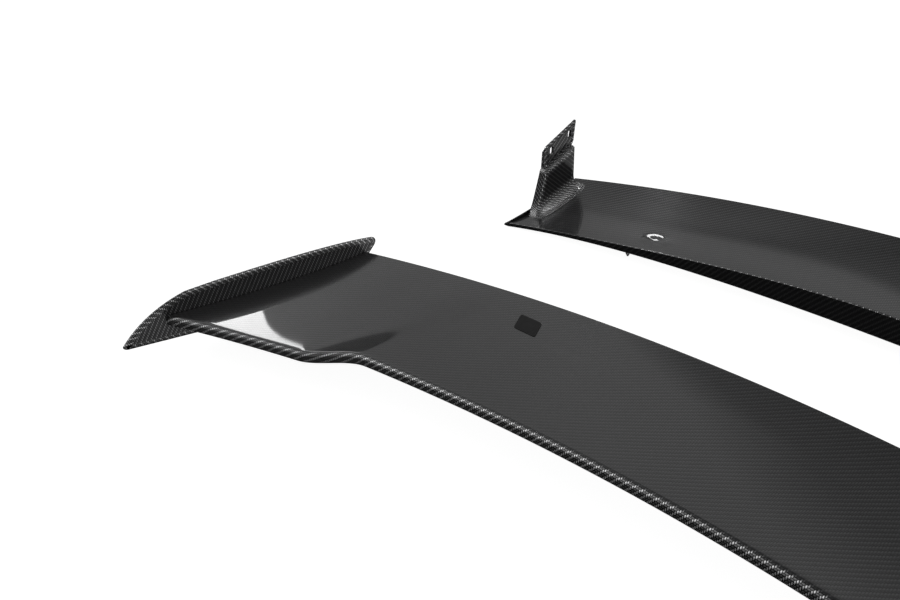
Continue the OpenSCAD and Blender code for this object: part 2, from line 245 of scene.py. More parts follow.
def footY(x):
    return mix(bandY(x), tailY(x), 0.5)


def footZ(x):
    return bandLow(x) + 4


def floorAt(x, y):
    return mix(bandLow(x), footZ(x), (y - bandY(x)) / (footY(x) - bandY(x)))


# A mesh from whole arrays: verts (n, 3) in mm, faces as vertex numbers, cloth places in mm per corner.
# Faces are turned round together when the enclosed volume comes out negative. The last argument is 0 to 1
# at each vertex, and is 1 where a tight curve gets painted highlights, bright dots on the tows.
def meshObject(name, verts, quads, tris, quadUv, triUv, paintedGlintMask=None):
    corners = np.concatenate([quads.reshape(-1), tris.reshape(-1)]).astype(np.int32)
    counts = np.concatenate([np.full(len(quads), 4), np.full(len(tris), 3)]).astype(np.int32)
    starts = np.concatenate([[0], np.cumsum(counts)[:-1]]).astype(np.int32)
    uv = np.concatenate([quadUv.reshape(-1, 2), triUv.reshape(-1, 2)])
    fans = np.concatenate([quads[:, [0, 1, 2]], quads[:, [0, 2, 3]], tris])
    a, b, c = (verts[fans[:, k]] for k in range(3))
    if np.einsum("ij,ij->i", a, np.cross(b, c)).sum() < 0:
        order = np.concatenate([
            (np.arange(len(quads))[:, None] * 4 + [3, 2, 1, 0]).reshape(-1),
            (len(quads) * 4 + np.arange(len(tris))[:, None] * 3 + [2, 1, 0]).reshape(-1)]).astype(int)
        corners, uv = corners[order], uv[order]
    mesh = bpy.data.meshes.new(name)
    mesh.vertices.add(len(verts))
    mesh.vertices.foreach_set("co", (verts * mm).astype(np.float32).reshape(-1))
    mesh.loops.add(len(corners))
    mesh.loops.foreach_set("vertex_index", corners)
    mesh.polygons.add(len(counts))
    mesh.polygons.foreach_set("loop_start", starts)
    mesh.polygons.foreach_set("loop_total", counts)
    smoothFaces = np.arange(len(counts)) < len(quads)
    mesh.polygons.foreach_set("use_smooth", smoothFaces)
    layer = mesh.uv_layers.new(name="cloth")
    mesh.update(calc_edges=True)
    layer.data.foreach_set("uv", uv.astype(np.float32).reshape(-1))
    if paintedGlintMask is not None:
        share = mesh.uv_layers.new(name="paintedGlintMask")
        share.data.foreach_set("uv", np.repeat(paintedGlintMask[corners][:, None], 2, 1).astype(np.float32).reshape(-1))
    mesh.validate()
    obj = bpy.data.objects.new(name, mesh)
    bpy.context.scene.collection.objects.link(obj)
    return obj


def place(obj, body, slotName, material, *nodes):
    obj.data.materials.clear()
    obj.data.materials.append(material)
    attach(obj, body)
    if nodes:
        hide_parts(*nodes)
    return obj


# Quads of rows of points whose last column joins the first.
def gridFaces(rows, cols):
    i, j = np.meshgrid(np.arange(rows - 1), np.arange(cols), indexing="ij")
    a = i * cols + j
    b = i * cols + (j + 1) % cols
    return np.stack([a, b, b + cols, a + cols], -1).reshape(-1, 4)


# Corner places for gridFaces, from arrays with one more column than the grid.
def gridUv(u, v):
    uv = np.stack([u, v], -1)
    return np.stack([uv[:-1, :-1], uv[:-1, 1:], uv[1:, 1:], uv[1:, :-1]], 2).reshape(-1, 4, 2)


# Triangles over flat loops of 2-D points, the first one outside and the others holes.
def capTris(loops):
    return np.array(tessellate_polygon([[(p[0], p[1], 0.0) for p in loop] for loop in loops])).reshape(-1, 3)


# Triangles turned so that each runs anticlockwise, or clockwise, over the flat points.
def turned(tris, flat, ccw):
    a, b, c = flat[tris[:, 0]], flat[tris[:, 1]], flat[tris[:, 2]]
    area = (b[:, 0] - a[:, 0]) * (c[:, 1] - a[:, 1]) - (b[:, 1] - a[:, 1]) * (c[:, 0] - a[:, 0])
    keep = np.abs(area) > 1e-9
    wrong = (area < 0) == ccw
    out = np.where(wrong[:, None], tris[:, ::-1], tris)
    return out[keep]


def ringSigned(flat):
    x, y = flat[:, 0], flat[:, 1]
    return 0.5 * np.sum(x * np.roll(y, -1) - y * np.roll(x, -1))


# A closed solid from one section per station: section is (stations, points, 2) in Y and Z.
# Cloth runs along X and around the section, measured from refColumn, where it equals Y.
def spanSolid(name, xs, section, refColumn, paintedGlintMask=None):
    n, m = section.shape[:2]
    verts = np.concatenate([np.broadcast_to(xs[:, None, None], (n, m, 1)), section], 2).reshape(-1, 3)
    step = np.linalg.norm(np.diff(np.concatenate([section, section[:, :1]], 1), axis=1), axis=2)
    run = np.concatenate([np.zeros((n, 1)), np.cumsum(step, 1)], 1)
    v = section[:, refColumn, 0][:, None] + run - run[:, refColumn][:, None]
    u = np.broadcast_to(xs[:, None], v.shape)
    quads = gridFaces(n, m)
    caps = []
    for k in (0, n - 1):
        # Quads go from a ring to the next one up in X, so the low cap runs with the ring and the
        # high one against it
        tris = turned(capTris([section[k]]), section[k], (ringSigned(section[k]) > 0) == (k > 0))
        caps.append(tris + k * m)
    tris = np.concatenate(caps)
    triUv = verts[tris][:, :, 1:]
    return meshObject(name, verts, quads, tris, gridUv(u, v), triUv, None if paintedGlintMask is None else np.tile(paintedGlintMask, n))


# Section pieces, each (stations, points, 2), joined end to end.
def along(parts):
    return np.concatenate(parts, 1)


def pairs(y, z):
    return np.stack(np.broadcast_arrays(y, z), -1)


# Points of a rounded corner at b, each array (stations, 2): a Bezier from reach before b to reach past it.
def roundCorner(a, b, c, reach, count):
    before = b + (a - b) * (reach / np.maximum(np.linalg.norm(a - b, axis=1), 1e-6))[:, None]
    after = b + (c - b) * (reach / np.maximum(np.linalg.norm(c - b, axis=1), 1e-6))[:, None]
    t = np.linspace(0, 1, count)[None, :, None]
    return (1 - t) ** 2 * before[:, None] + 2 * t * (1 - t) * b[:, None] + t * t * after[:, None]


# Rounded rectangles, one per level, anticlockwise from the low X side's front: (levels, points, 2).
def roundRect(x0, x1, y0, y1, r, edgeCount, cornerCount=6):
    quarter = np.linspace(0, math.pi / 2, cornerCount)
    corners = [(x1, y0, -1, 1, -math.pi / 2), (x1, y1, -1, -1, 0.0),
               (x0, y1, 1, -1, math.pi / 2), (x0, y0, 1, 1, math.pi)]
    arcs = []
    for cx, cy, sx, sy, a0 in corners:
        ax = cx[:, None] + sx * r[:, None] + r[:, None] * np.cos(a0 + quarter)[None]
        ay = cy[:, None] + sy * r[:, None] + r[:, None] * np.sin(a0 + quarter)[None]
        arcs.append(np.stack([ax, ay], -1))
    out = []
    t = np.linspace(0, 1, edgeCount + 2)[1:-1][None, :, None]
    for k in range(4):
        out.append(arcs[k])
        start, end = arcs[k][:, -1:], arcs[(k + 1) % 4][:, :1]
        out.append(start + (end - start) * t)
    return np.concatenate(out, 1)


# A closed solid from rings of 3-D points, (levels, points, 3), with flat end faces in plan.
def stackSolid(name, points, u, v, paintedGlintMask=None):
    n, m = points.shape[:2]
    verts = points.reshape(-1, 3)
    caps = []
    for k in (0, n - 1):
        flat = points[k][:, :2]
        tris = turned(capTris([flat]), flat, (ringSigned(flat) > 0) == (k > 0))
        caps.append(tris + k * m)
    tris = np.concatenate(caps)
    return meshObject(name, verts, gridFaces(n, m), tris, gridUv(u, v), verts[tris][:, :, :2],
                      None if paintedGlintMask is None else paintedGlintMask.reshape(-1))


# A closed 2-D loop resampled evenly, with its corners softened by a bell-shaped average.
def evenLoop(points, step, soften):
    loop = np.concatenate([points, points[:1]])
    run = np.concatenate([[0], np.cumsum(np.linalg.norm(np.diff(loop, axis=0), axis=1))])
    count = int(round(run[-1] / step))
    at = np.arange(count) * run[-1] / count
    even = np.stack([np.interp(at, run, loop[:, k]) for k in range(2)], -1)
    waves = np.fft.fftfreq(count, d=run[-1] / count)
    bell = np.exp(-2 * (math.pi * waves * soften) ** 2)
    even = np.stack([np.fft.ifft(np.fft.fft(even[:, k]) * bell).real for k in range(2)], -1)
    return even if ringSigned(even) > 0 else even[::-1]


def insetLoop(loop, depth):
    tangent = np.roll(loop, -1, 0) - np.roll(loop, 1, 0)
    tangent /= np.linalg.norm(tangent, axis=1)[:, None]
    return loop + np.stack([-tangent[:, 1], tangent[:, 0]], -1) * depth


# A plate in the YZ plane with a rounded rim: the rim's rows follow a half circle or two quarter circles.
# recess is (rim width, depth, +1 or -1 for the face it is sunk into). Holes are loops of points, and
# the painted highlight on the tows reaches rimBand in from the rim.
def roundedPlate(name, loop, x0, x1, edgeR, side, holes=(), recess=None, clothTurn=0.0, rimBand=2.5):
    a = np.linspace(0, math.pi / 2, 6)
    rows = [(edgeR * (1 - math.sin(k)), x0 + edgeR * (1 - math.cos(k))) for k in a]
    rows += [(edgeR * (1 - math.cos(k)), x1 - edgeR * (1 - math.sin(k))) for k in a]
    if x1 - x0 - 2 * edgeR < 1e-6:
        rows.pop(6)
    if not recess:
        rows = [(edgeR + band, x0) for band in (rimBand + 0.8, rimBand)] + rows
        rows += [(edgeR + band, x1) for band in (rimBand, rimBand + 0.8)]
    if recess:
        width, depth, face = recess
        sunk = [(width, 0.0), (width + 0.5, 0.25 * depth), (width + 1.0, 0.85 * depth), (width + 1.5, depth)]
        if face < 0:
            rows = [(w, x0 + d) for w, d in sunk[::-1]] + rows
        else:
            rows = rows + [(w, x1 - d) for w, d in sunk]
    m = len(loop)
    rings = [np.concatenate([np.full((m, 1), x), insetLoop(loop, w)], 1) for w, x in rows]
    verts = [np.concatenate(rings)]
    quads = [gridFaces(len(rows), m)]
    step = np.linalg.norm(np.roll(loop, -1, 0) - loop, axis=1)
    run = np.concatenate([[0], np.cumsum(step)])
    across = np.concatenate([[0], np.cumsum([math.dist(rows[k], rows[k + 1]) for k in range(len(rows) - 1)])])
    size = (len(rows), m + 1)
    uvs = [gridUv(np.broadcast_to(run, size), np.broadcast_to(across[:, None], size))]
    faceRows = {0: [rings[0][:, 1:]], 1: [rings[-1][:, 1:]]}
    faceIds = {0: [np.arange(m)], 1: [np.arange(m) + (len(rows) - 1) * m]}
    base = len(rows) * m
    for hole in holes:
        hole = hole if ringSigned(hole) < 0 else hole[::-1]
        k = len(hole)
        chamfer = 0.3
        levels = [(chamfer, rows[0][1]), (0, rows[0][1] + chamfer),
                  (0, rows[-1][1] - chamfer), (chamfer, rows[-1][1])]
        wall = [np.concatenate([np.full((k, 1), x), insetLoop(hole, w)], 1) for w, x in levels]
        verts.append(np.concatenate(wall))
        quads.append(gridFaces(4, k) + base)
        ring = np.concatenate([[0], np.cumsum(np.linalg.norm(np.roll(hole, -1, 0) - hole, axis=1))])
        depths = np.array([x for w, x in levels])
        uvs.append(gridUv(np.broadcast_to(ring, (4, k + 1)), np.broadcast_to(depths[:, None], (4, k + 1))))
        faceRows[0].append(wall[0][:, 1:])
        faceRows[1].append(wall[3][:, 1:])
        faceIds[0].append(np.arange(k) + base)
        faceIds[1].append(np.arange(k) + base + 3 * k)
        base += 4 * k
    tris = []
    for face in (0, 1):
        flat = np.concatenate(faceRows[face])
        ids = np.concatenate(faceIds[face])
        tris.append(ids[turned(capTris(faceRows[face]), flat, face == 1)])
    verts = np.concatenate(verts)
    tris = np.concatenate(tris)
    c, s = math.cos(clothTurn), math.sin(clothTurn)
    yz = verts[tris][:, :, 1:]
    triUv = np.stack([yz[..., 0] * c + yz[..., 1] * s, yz[..., 1] * c - yz[..., 0] * s], -1)
    verts[:, 0] *= side
    # Painted highlight: full on the tows round the edge, weaker on the faces and in the holes.
    paintedGlintMask = np.full(len(verts), 0.35)
    paintedGlintMask[:m * len(rows)] = np.repeat(np.where([w < edgeR + rimBand + 0.1 for w, x in rows], 1.0, 0.35), m)
    return meshObject(name, verts, np.concatenate(quads), tris, np.concatenate(uvs), triUv, paintedGlintMask)


# Small helper that adds nodes to one tree and joins them up.
class Wiring:

    def __init__(self, tree):
        self.tree = tree

    def put(self, socket, value):
        if hasattr(value, "is_output"):
            self.tree.links.new(value, socket)
        elif value is not None:
            socket.default_value = value

    def node(self, kind, **settings):
        n = self.tree.nodes.new(kind)
        for key, value in settings.items():
            setattr(n, key, value)
        return n

    def math(self, operation, a, b=None, c=None, clamp=False):
        n = self.node("ShaderNodeMath", operation=operation, use_clamp=clamp)
        for socket, value in zip(n.inputs, (a, b, c)):
            self.put(socket, value)
        return n.outputs[0]

    def span(self, value, low, high, toLow=0.0, toHigh=1.0, kind="SMOOTHSTEP"):
        n = self.node("ShaderNodeMapRange", interpolation_type=kind)
        labels = ("Value", "From Min", "From Max", "To Min", "To Max")
        for label, v in zip(labels, (value, low, high, toLow, toHigh)):
            self.put(n.inputs[label], v)
        return n.outputs["Result"]

    def colour(self, share, a, b):
        n = self.node("ShaderNodeMix", data_type="RGBA")
        self.put(n.inputs[0], share)
        self.put(n.inputs[6], a)
        self.put(n.inputs[7], b)
        return n.outputs[2]

    def noise(self, vector, scale, detail=2.0, roughness=0.5):
        n = self.node("ShaderNodeTexNoise")
        self.put(n.inputs["Vector"], vector)
        self.put(n.inputs["Scale"], scale)
        self.put(n.inputs["Detail"], detail)
        self.put(n.inputs["Roughness"], roughness)
        return n.outputs["Fac"]

    def cells(self, vector, scale, feature="F1"):
        n = self.node("ShaderNodeTexVoronoi", feature=feature)
        self.put(n.inputs["Vector"], vector)
        self.put(n.inputs["Scale"], scale)
        return n.outputs["Distance"]

    def objectPlace(self):
        return self.node("ShaderNodeTexCoord").outputs["Object"]

    def stretch(self, vector, scale):
        n = self.node("ShaderNodeMapping")
        self.put(n.inputs["Vector"], vector)
        n.inputs["Scale"].default_value = scale
        return n.outputs["Vector"]

    def bump(self, height, strength, distance):
        n = self.node("ShaderNodeBump")
        self.put(n.inputs["Height"], height)
        n.inputs["Strength"].default_value = strength
        n.inputs["Distance"].default_value = distance
        return n.outputs["Normal"]


# An empty node group: inputs are (name, kind, value), outputs are (name, kind).
def newGroup(name, inputs, outputs):
    tree = bpy.data.node_groups.new(name, "ShaderNodeTree")
    for label, kind, value in inputs:
        s = tree.interface.new_socket(label, in_out="INPUT", socket_type=kind)
        if value is not None:
            s.default_value = value
    for label, kind in outputs:
        tree.interface.new_socket(label, in_out="OUTPUT", socket_type=kind)
    w = Wiring(tree)
    return w, w.node("NodeGroupInput").outputs, w.node("NodeGroupOutput").inputs


def addGroup(w, tree, **values):
    n = w.node("ShaderNodeGroup", node_tree=tree)
    for label, value in values.items():
        w.put(n.inputs[label], value)
    return n.outputs


# 2x2 twill from cloth places in mm. Tow columns i = floor(x) and rows j = floor(y), in tow widths.
# The warp is on top where (i - j) mod 4 is 0 or 1, the weft elsewhere, and each float spans two tows.
# Height is a round across the tow times a dip at both ends of the float.
def makeTwill():
    w, given, out = newGroup(
        "twillWeave",
        [("Cloth", "NodeSocketVector", None), ("Tow", "NodeSocketFloat", 2.0)],
        [("Height", "NodeSocketFloat"), ("Warp", "NodeSocketFloat"), ("Tone", "NodeSocketFloat"),
         ("Gap", "NodeSocketFloat")])
    split = w.node("ShaderNodeSeparateXYZ")
    w.put(split.inputs[0], given["Cloth"])
    x = w.math("DIVIDE", split.outputs[0], given["Tow"])
    y = w.math("DIVIDE", split.outputs[1], given["Tow"])
    i, j = w.math("FLOOR", x), w.math("FLOOR", y)
    warp = w.math("LESS_THAN", w.math("FLOORED_MODULO", w.math("SUBTRACT", i, j), 4.0), 1.5)
    # Along the float, 0 to 2, for the warp and for the weft
    q1 = w.math("FLOORED_MODULO", w.math("SUBTRACT", y, w.math("SUBTRACT", i, 1.0)), 4.0)
    q2 = w.math("FLOORED_MODULO", w.math("SUBTRACT", x, w.math("ADD", j, 2.0)), 4.0)

    def choose(a, b):
        weft = w.math("SUBTRACT", 1.0, warp)
        return w.math("ADD", w.math("MULTIPLY", warp, a), w.math("MULTIPLY", weft, b))

    length = choose(q1, q2)
    across = choose(w.math("SUBTRACT", x, i), w.math("SUBTRACT", y, j))
    s = w.math("SUBTRACT", length, 1.0)
    c = w.math("MULTIPLY", w.math("SUBTRACT", across, 0.5), 2.0)
    dome = w.math("SUBTRACT", 1.0, w.math("POWER", w.math("ABSOLUTE", s), 2.2))
    side = w.math("SUBTRACT", 1.0, w.math("POWER", w.math("ABSOLUTE", c), 3.0))
    height = w.math("MULTIPLY", w.math("ADD", 0.35, w.math("MULTIPLY", dome, 0.65)), side)
    index = choose(i, w.math("ADD", j, 500.5))
    random = w.node("ShaderNodeTexWhiteNoise", noise_dimensions="1D")
    w.put(random.inputs["W"], index)
    # Fine fibres run along each tow
    fine = w.node("ShaderNodeCombineXYZ")
    w.put(fine.inputs[0], w.math("MULTIPLY", across, 9.0))
    w.put(fine.inputs[1], w.math("MULTIPLY", length, 0.35))
    w.put(fine.inputs[2], index)
    fibre = w.noise(fine.outputs[0], 1.6, 3.0, 0.6)
    w.put(out["Height"], w.math("ADD", height, w.math("MULTIPLY", fibre, 0.12)))
    w.put(out["Warp"], warp)
    tone = w.math("ADD", random.outputs["Value"], fibre)
    w.put(out["Tone"], w.math("MULTIPLY", tone, 0.5))
    w.put(out["Gap"], w.math("SUBTRACT", 1.0, w.span(height, 0.02, 0.22)))
    return w.tree


# Handling marks: sparse specks and long faint scratches, both as masks.
def makeDust():
    w, given, out = newGroup(
        "handlingMarks",
        [("Place", "NodeSocketVector", None), ("Amount", "NodeSocketFloat", 0.5)],
        [("Specks", "NodeSocketFloat"), ("Scratches", "NodeSocketFloat"), ("Clouds", "NodeSocketFloat")])
    patch = w.noise(given["Place"], 9.0, 2.0)
    dot = w.span(w.cells(given["Place"], 260.0), 0.03, 0.10, 1.0, 0.0)
    sparse = w.span(w.noise(given["Place"], 120.0, 1.0), 0.66, 0.72)
    w.put(out["Specks"], w.math("MULTIPLY", w.math("MULTIPLY", dot, sparse), given["Amount"]))
    thin = w.noise(w.stretch(given["Place"], (30.0, 900.0, 30.0)), 1.0, 1.0)
    scratch = w.math("MULTIPLY", w.span(thin, 0.70, 0.76), w.span(patch, 0.5, 0.7))
    w.put(out["Scratches"], w.math("MULTIPLY", scratch, given["Amount"]))
    w.put(out["Clouds"], patch)
    return w.tree


twillTree = makeTwill()
dustTree = makeDust()


def startMaterial(name):
    material = bpy.data.materials.new(name)
    material.use_nodes = True
    w = Wiring(material.node_tree)
    return material, w, material.node_tree.nodes["Principled BSDF"]


# Joins a colour, a roughness and a normal to a shader.
def dress(w, shader, colour, rough, normal):
    for label, value in (("Base Color", colour), ("Roughness", rough), ("Normal", normal)):
        w.put(shader.inputs[label], value)


glossCarbon = {
    "tow": 2.0,            # mm
    "dark": (0.012, 0.012, 0.013, 1.0),
    "light": (0.044, 0.0444, 0.046, 1.0),
    "toneShare": 0.45,
    "warpShare": 0.5,
    "metallic": 0.75,
    "roughness": 0.34,
    "coatRoughness": 0.03,
    "bumpStrength": 0.8,
    "bumpDistance": 0.00018,
    "marks": 0.5,
}
# Painted highlight: on tight curves each float is painted as a bright dot on near-black, in place of the
# glints of the tows, and a per-vertex mask blends it in
paintedGlintCarbon = {
    "dark": (0.012, 0.012, 0.012, 1.0),
    "light": (0.95, 0.95, 0.96, 1.0),
    # the painted highlight's colour
    "roughness": 0.22,
    "crestFrom": 0.55,     # height at which a float's painted highlight starts
    "weftShare": 0.2,      # the weft's painted highlight as a share of the warp's
}


# Clear-coated twill: metallic grey tows under a smooth coat that keeps its own, unbumped normal.
def makeGlossCarbon(name, values=glossCarbon):
    material, w, shader = startMaterial(name)
    cloth = w.node("ShaderNodeUVMap", uv_map="cloth").outputs[0]
    objectPlace = w.objectPlace()
    weave = addGroup(w, twillTree, Cloth=cloth, Tow=values["tow"])
    marks = addGroup(w, dustTree, Place=objectPlace, Amount=values["marks"])
    lift = w.math("MULTIPLY", weave["Tone"], values["toneShare"])
    lift = w.math("ADD", lift, w.math("MULTIPLY", weave["Warp"], values["warpShare"]))
    lift = w.math("MULTIPLY", lift, w.span(marks["Clouds"], 0.3, 0.7, 0.88, 1.08))
    tows = w.colour(lift, values["dark"], values["light"])
    # Painted highlight: where the mask is high the tows are coloured by their height, bright at each float's
    # top, in place of glints; the same mask also lowers the roughness.
    part = w.node("ShaderNodeSeparateXYZ")
    w.put(part.inputs[0], w.node("ShaderNodeUVMap", uv_map="paintedGlintMask").outputs[0])
    paintedGlintMask = part.outputs[0]
    weftShare = paintedGlintCarbon["weftShare"]
    paintedCrest = w.math("MULTIPLY", w.span(weave["Height"], paintedGlintCarbon["crestFrom"], 1.0),
                   w.math("MULTIPLY_ADD", weave["Warp"], 1.0 - weftShare, weftShare))
    tows = w.colour(paintedGlintMask, tows, w.colour(paintedCrest, paintedGlintCarbon["dark"], paintedGlintCarbon["light"]))
    tows = w.colour(w.math("MULTIPLY", weave["Gap"], 0.75), tows, (0.008, 0.008, 0.009, 1.0))
    tows = w.colour(w.math("MULTIPLY", marks["Specks"], 0.5), tows, (0.35, 0.35, 0.34, 1.0))
    smoothness = w.math("MULTIPLY", paintedGlintMask, values["roughness"] - paintedGlintCarbon["roughness"])
    rough = w.math("ADD", values["roughness"], w.math("MULTIPLY", weave["Gap"], 0.25))
    rough = w.math("SUBTRACT", rough, smoothness)
    rough = w.math("ADD", rough, w.math("MULTIPLY", marks["Scratches"], 0.2))
    dress(w, shader, tows, rough, w.bump(weave["Height"], values["bumpStrength"], values["bumpDistance"]))
    shader.inputs["Metallic"].default_value = values["metallic"]
    w.put(shader.inputs["Coat Weight"], w.math("SUBTRACT", 1.0, w.math("MULTIPLY", marks["Specks"], 0.5)))
    shader.inputs["Coat Roughness"].default_value = values["coatRoughness"]
    shader.inputs["Coat IOR"].default_value = 1.5
    return material


# Uncoated laminate on inner pieces: the same weave on Object coordinates, matt, with resin streaks.
def makeBareCarbon(name):
    material, w, shader = startMaterial(name)
    objectPlace = w.objectPlace()
    cloth = w.stretch(objectPlace, (1000.0, 1000.0, 1000.0))
    weave = addGroup(w, twillTree, Cloth=cloth, Tow=glossCarbon["tow"])
    streaks = w.noise(objectPlace, 35.0, 4.0, 0.6)
    tows = w.colour(weave["Tone"], (0.02, 0.02, 0.021, 1.0), (0.07, 0.07, 0.073, 1.0))
    tows = w.colour(w.span(streaks, 0.55, 0.7, 0.0, 0.35), tows, (0.10, 0.095, 0.085, 1.0))
    rough = w.span(streaks, 0.3, 0.7, 0.45, 0.75)
    dress(w, shader, tows, rough, w.bump(weave["Height"], 0.5, 0.0002))
    return material


# Structural foam: small closed cells over faint clouds.
def makeFoam(name):
    material, w, shader = startMaterial(name)
    objectPlace = w.objectPlace()
    clouds = w.noise(objectPlace, 25.0, 4.0, 0.6)
    cream = w.colour(clouds, (0.50, 0.47, 0.40, 1.0), (0.66, 0.63, 0.56, 1.0))
    rough = w.span(clouds, 0.3, 0.7, 0.75, 0.95)
    dress(w, shader, cream, rough, w.bump(w.cells(objectPlace, 900.0), 0.6, 0.0004))
    return material


# Zinc-plated steel: a faint blue and yellow bloom over fine turning lines.
def makeZincSteel(name):
    material, w, shader = startMaterial(name)
    objectPlace = w.objectPlace()
    bloom = w.noise(objectPlace, 60.0, 3.0, 0.5)
    lines = w.noise(w.stretch(objectPlace, (2500.0, 300.0, 2500.0)), 1.0, 2.0)
    plated = w.colour(w.span(bloom, 0.35, 0.65), (0.55, 0.58, 0.62, 1.0), (0.68, 0.66, 0.60, 1.0))
    dress(w, shader, plated, w.span(lines, 0.3, 0.7, 0.26, 0.42), w.bump(lines, 0.15, 0.0001))
    shader.inputs["Metallic"].default_value = 1.0
    return material


# Black foam tape with open pores.
def makeTape(name):
    material, w, shader = startMaterial(name)
    objectPlace = w.objectPlace()
    pores = w.noise(objectPlace, 1400.0, 2.0, 0.7)
    sooty = w.colour(pores, (0.012, 0.012, 0.012, 1.0), (0.05, 0.05, 0.05, 1.0))
    dress(w, shader, sooty, w.span(pores, 0.3, 0.7, 0.6, 0.9), w.bump(pores, 0.5, 0.0003))
    return material


# Satin black moulding with a fine leather-like grain.
def makeTrim(name):
    material, w, shader = startMaterial(name)
    objectPlace = w.objectPlace()
    grain = w.cells(objectPlace, 1500.0, "SMOOTH_F1")
    clouds = w.noise(objectPlace, 80.0, 3.0)
    moulded = w.colour(clouds, (0.006, 0.006, 0.006, 1.0), (0.014, 0.014, 0.014, 1.0))
    dress(w, shader, moulded, w.span(clouds, 0.3, 0.7, 0.38, 0.5), w.bump(grain, 0.25, 0.0001))
    shader.inputs["Specular IOR Level"].default_value = 0.2
    return material


carbon = makeGlossCarbon("gloss carbon")
carbonBare = makeBareCarbon("bare carbon")
foam = makeFoam("core foam")
steel = makeZincSteel("zinc steel")
tape = makeTape("foam tape")
trim = makeTrim("black trim")
print("materials made")


sideWord = {-1: "left", 1: "right"}


# Stations along X from -end to end, flat and as a column.
def stationsTo(end, count):
    xs = np.linspace(-end, end, count)
    return xs, xs[:, None]


def fourPanels(name):
    return [name + end for end in ("_left_outer", "_left_inner", "_right_inner", "_right_outer")]


topSkin = {
    "stations": 481,
    "bead": (-80.0, 86.0),     # degrees round the bead, from its front
    "beadSteps": 30,
    "topSteps": 64,
    "bunch": 0.9,
    "edgeR": 0.8,
    "paintedGlintFade": (40.0, 80.0),   # degrees over which the painted highlight fades
    "quiet": 0.03,
}


# Upper skin: the section goes round the bead from below, over the front, along the top to the
# trailing edge, and back along the inside, one wall thickness deeper.
def makeTopSkin(values=topSkin):
    xs, xCol = stationsTo(upper["halfSpan"], values["stations"])
    y0, z0, r = beadY(xCol), beadZ(xCol), upper["beadR"]
    a = np.radians(np.linspace(*values["bead"], values["beadSteps"]))[None]
    t = np.linspace(0, 1, values["topSteps"])[None] ** values["bunch"]
    front = pairs(y0 - r * np.cos(a), z0 + r * np.sin(a))
    top = pairs(bladeY(xCol, t), bladeTop(xCol, t))
    inner = top[:, ::-3] - [0, skinThickness]
    back, hollowR = a[:, ::-2], r - skinThickness
    inside = pairs(y0 - hollowR * np.cos(back), z0 + hollowR * np.sin(back))
    corner = roundCorner(top[:, -2], top[:, -1], inner[:, 0], values["edgeR"], 5)
    section = along([front, top[:, :-1], corner, inner, inside])
    # Painted highlight: full on the front of the bead, fading out over the given angles, and faint over the
    # rest of the skin.
    first, last = values["paintedGlintFade"]
    bead = 1 - smooth((np.degrees(a[0]) - first) / (last - first))
    paintedGlintMask = np.full(section.shape[1], values["quiet"])
    paintedGlintMask[:len(bead)] = np.maximum(bead, values["quiet"])
    return spanSolid("upper_top_laminate", xs, section, front.shape[1], paintedGlintMask)


bottomSkin = {"stations": 361, "steps": 48, "front": 0.015, "edgeR": 0.8}


# Underside: a shallow belly from just behind the bead to the trailing edge, one wall thick.
def makeBottomSkin(values=bottomSkin):
    xs, xCol = stationsTo(upper["halfSpan"], values["stations"])
    t = np.linspace(values["front"], 1, values["steps"])[None]
    low = pairs(bladeY(xCol, t), bladeLow(xCol, t))
    inner = low[:, ::-2] + [0, skinThickness]
    corner = roundCorner(low[:, -2], low[:, -1], inner[:, 0], values["edgeR"], 5)
    section = along([low[:, :-1], corner, inner])
    return spanSolid("upper_bottom_laminate", xs, section, 0)


place(makeTopSkin(), "upper_wing", "carbon", carbon, *fourPanels("upper_top_skin"))
place(makeBottomSkin(), "upper_wing", "carbon", carbon, *fourPanels("upper_bottom_skin"))
print("upper skins made")


endPlate = {
    "nose": 63.0,
    "topZ": 74.0,
    "tipZ": 27.0,
    "step": 1.2,
    "soften": 1.6,         # rounding of the outline's corners
    "clothTurn": math.radians(15),
}


def bend(a, b, c, count):
    t = np.linspace(0, 1, count + 1)[:, None]
    a, b, c = (np.asarray(p, float) for p in (a, b, c))
    return (1 - t) ** 2 * a + 2 * t * (1 - t) * b + t * t * c


# A pointed nose that curves up, a straight top and a leaning rear edge that runs down to the foot.
def endPlateLoop(values=endPlate):
    rootFront = upper["beadY"] + upper["outerShift"] - upper["mainSweep"] - upper["outerSweep"] - midY
    rootRear = upper["beadY"] + upper["chord"] - upper["teSweep"] - midY
    top, tipY, tipZ = values["topZ"], rootFront - values["nose"], values["tipZ"]
    rear, foot = rootRear + 17, rootRear - 20
    points = np.concatenate([
        [[rootRear - 76, 0]], [[tipY + 4, tipZ - 3]],
        bend([tipY, tipZ], [tipY + 30, top - 12], [rootFront + 22, top - 1], 30),
        bend([rootFront + 60, top], [rootRear - 60, top], [rootRear, top - 8], 24),
        bend([rear - 5, top - 9.5], [rear + 3, top - 13], [rear - 3, top - 21], 12),
        bend([rootRear, 38], [foot + 10, 4], [foot, 0], 16)])
    return evenLoop(points, values["step"], values["soften"])


def makeEndPlate(side, values=endPlate):
    thick = plateBox[1][0] - plateBox[0][0]
    plate = roundedPlate("end_plate_laminate_" + sideWord[side], endPlateLoop(), plateBox[0][0],
                         plateBox[1][0], thick / 2 - 0.01, side, clothTurn=values["clothTurn"] * -side)
    return place(plate, "upper_wing", "carbon", carbon, "end_plate_" + sideWord[side])


for side in (-1, 1):
    makeEndPlate(side)
print("end plates made")


cover = {
    "x": -412.5,
    "y": 138.0,
    "size": (34.0, 27.0),
    "lean": -0.6,          # X gained per mm towards the trailing edge
    "thick": 0.6,
    "lineDepth": 0.15,
    "power": 10.0,
    "rings": 16,
    "sides": 120,
}


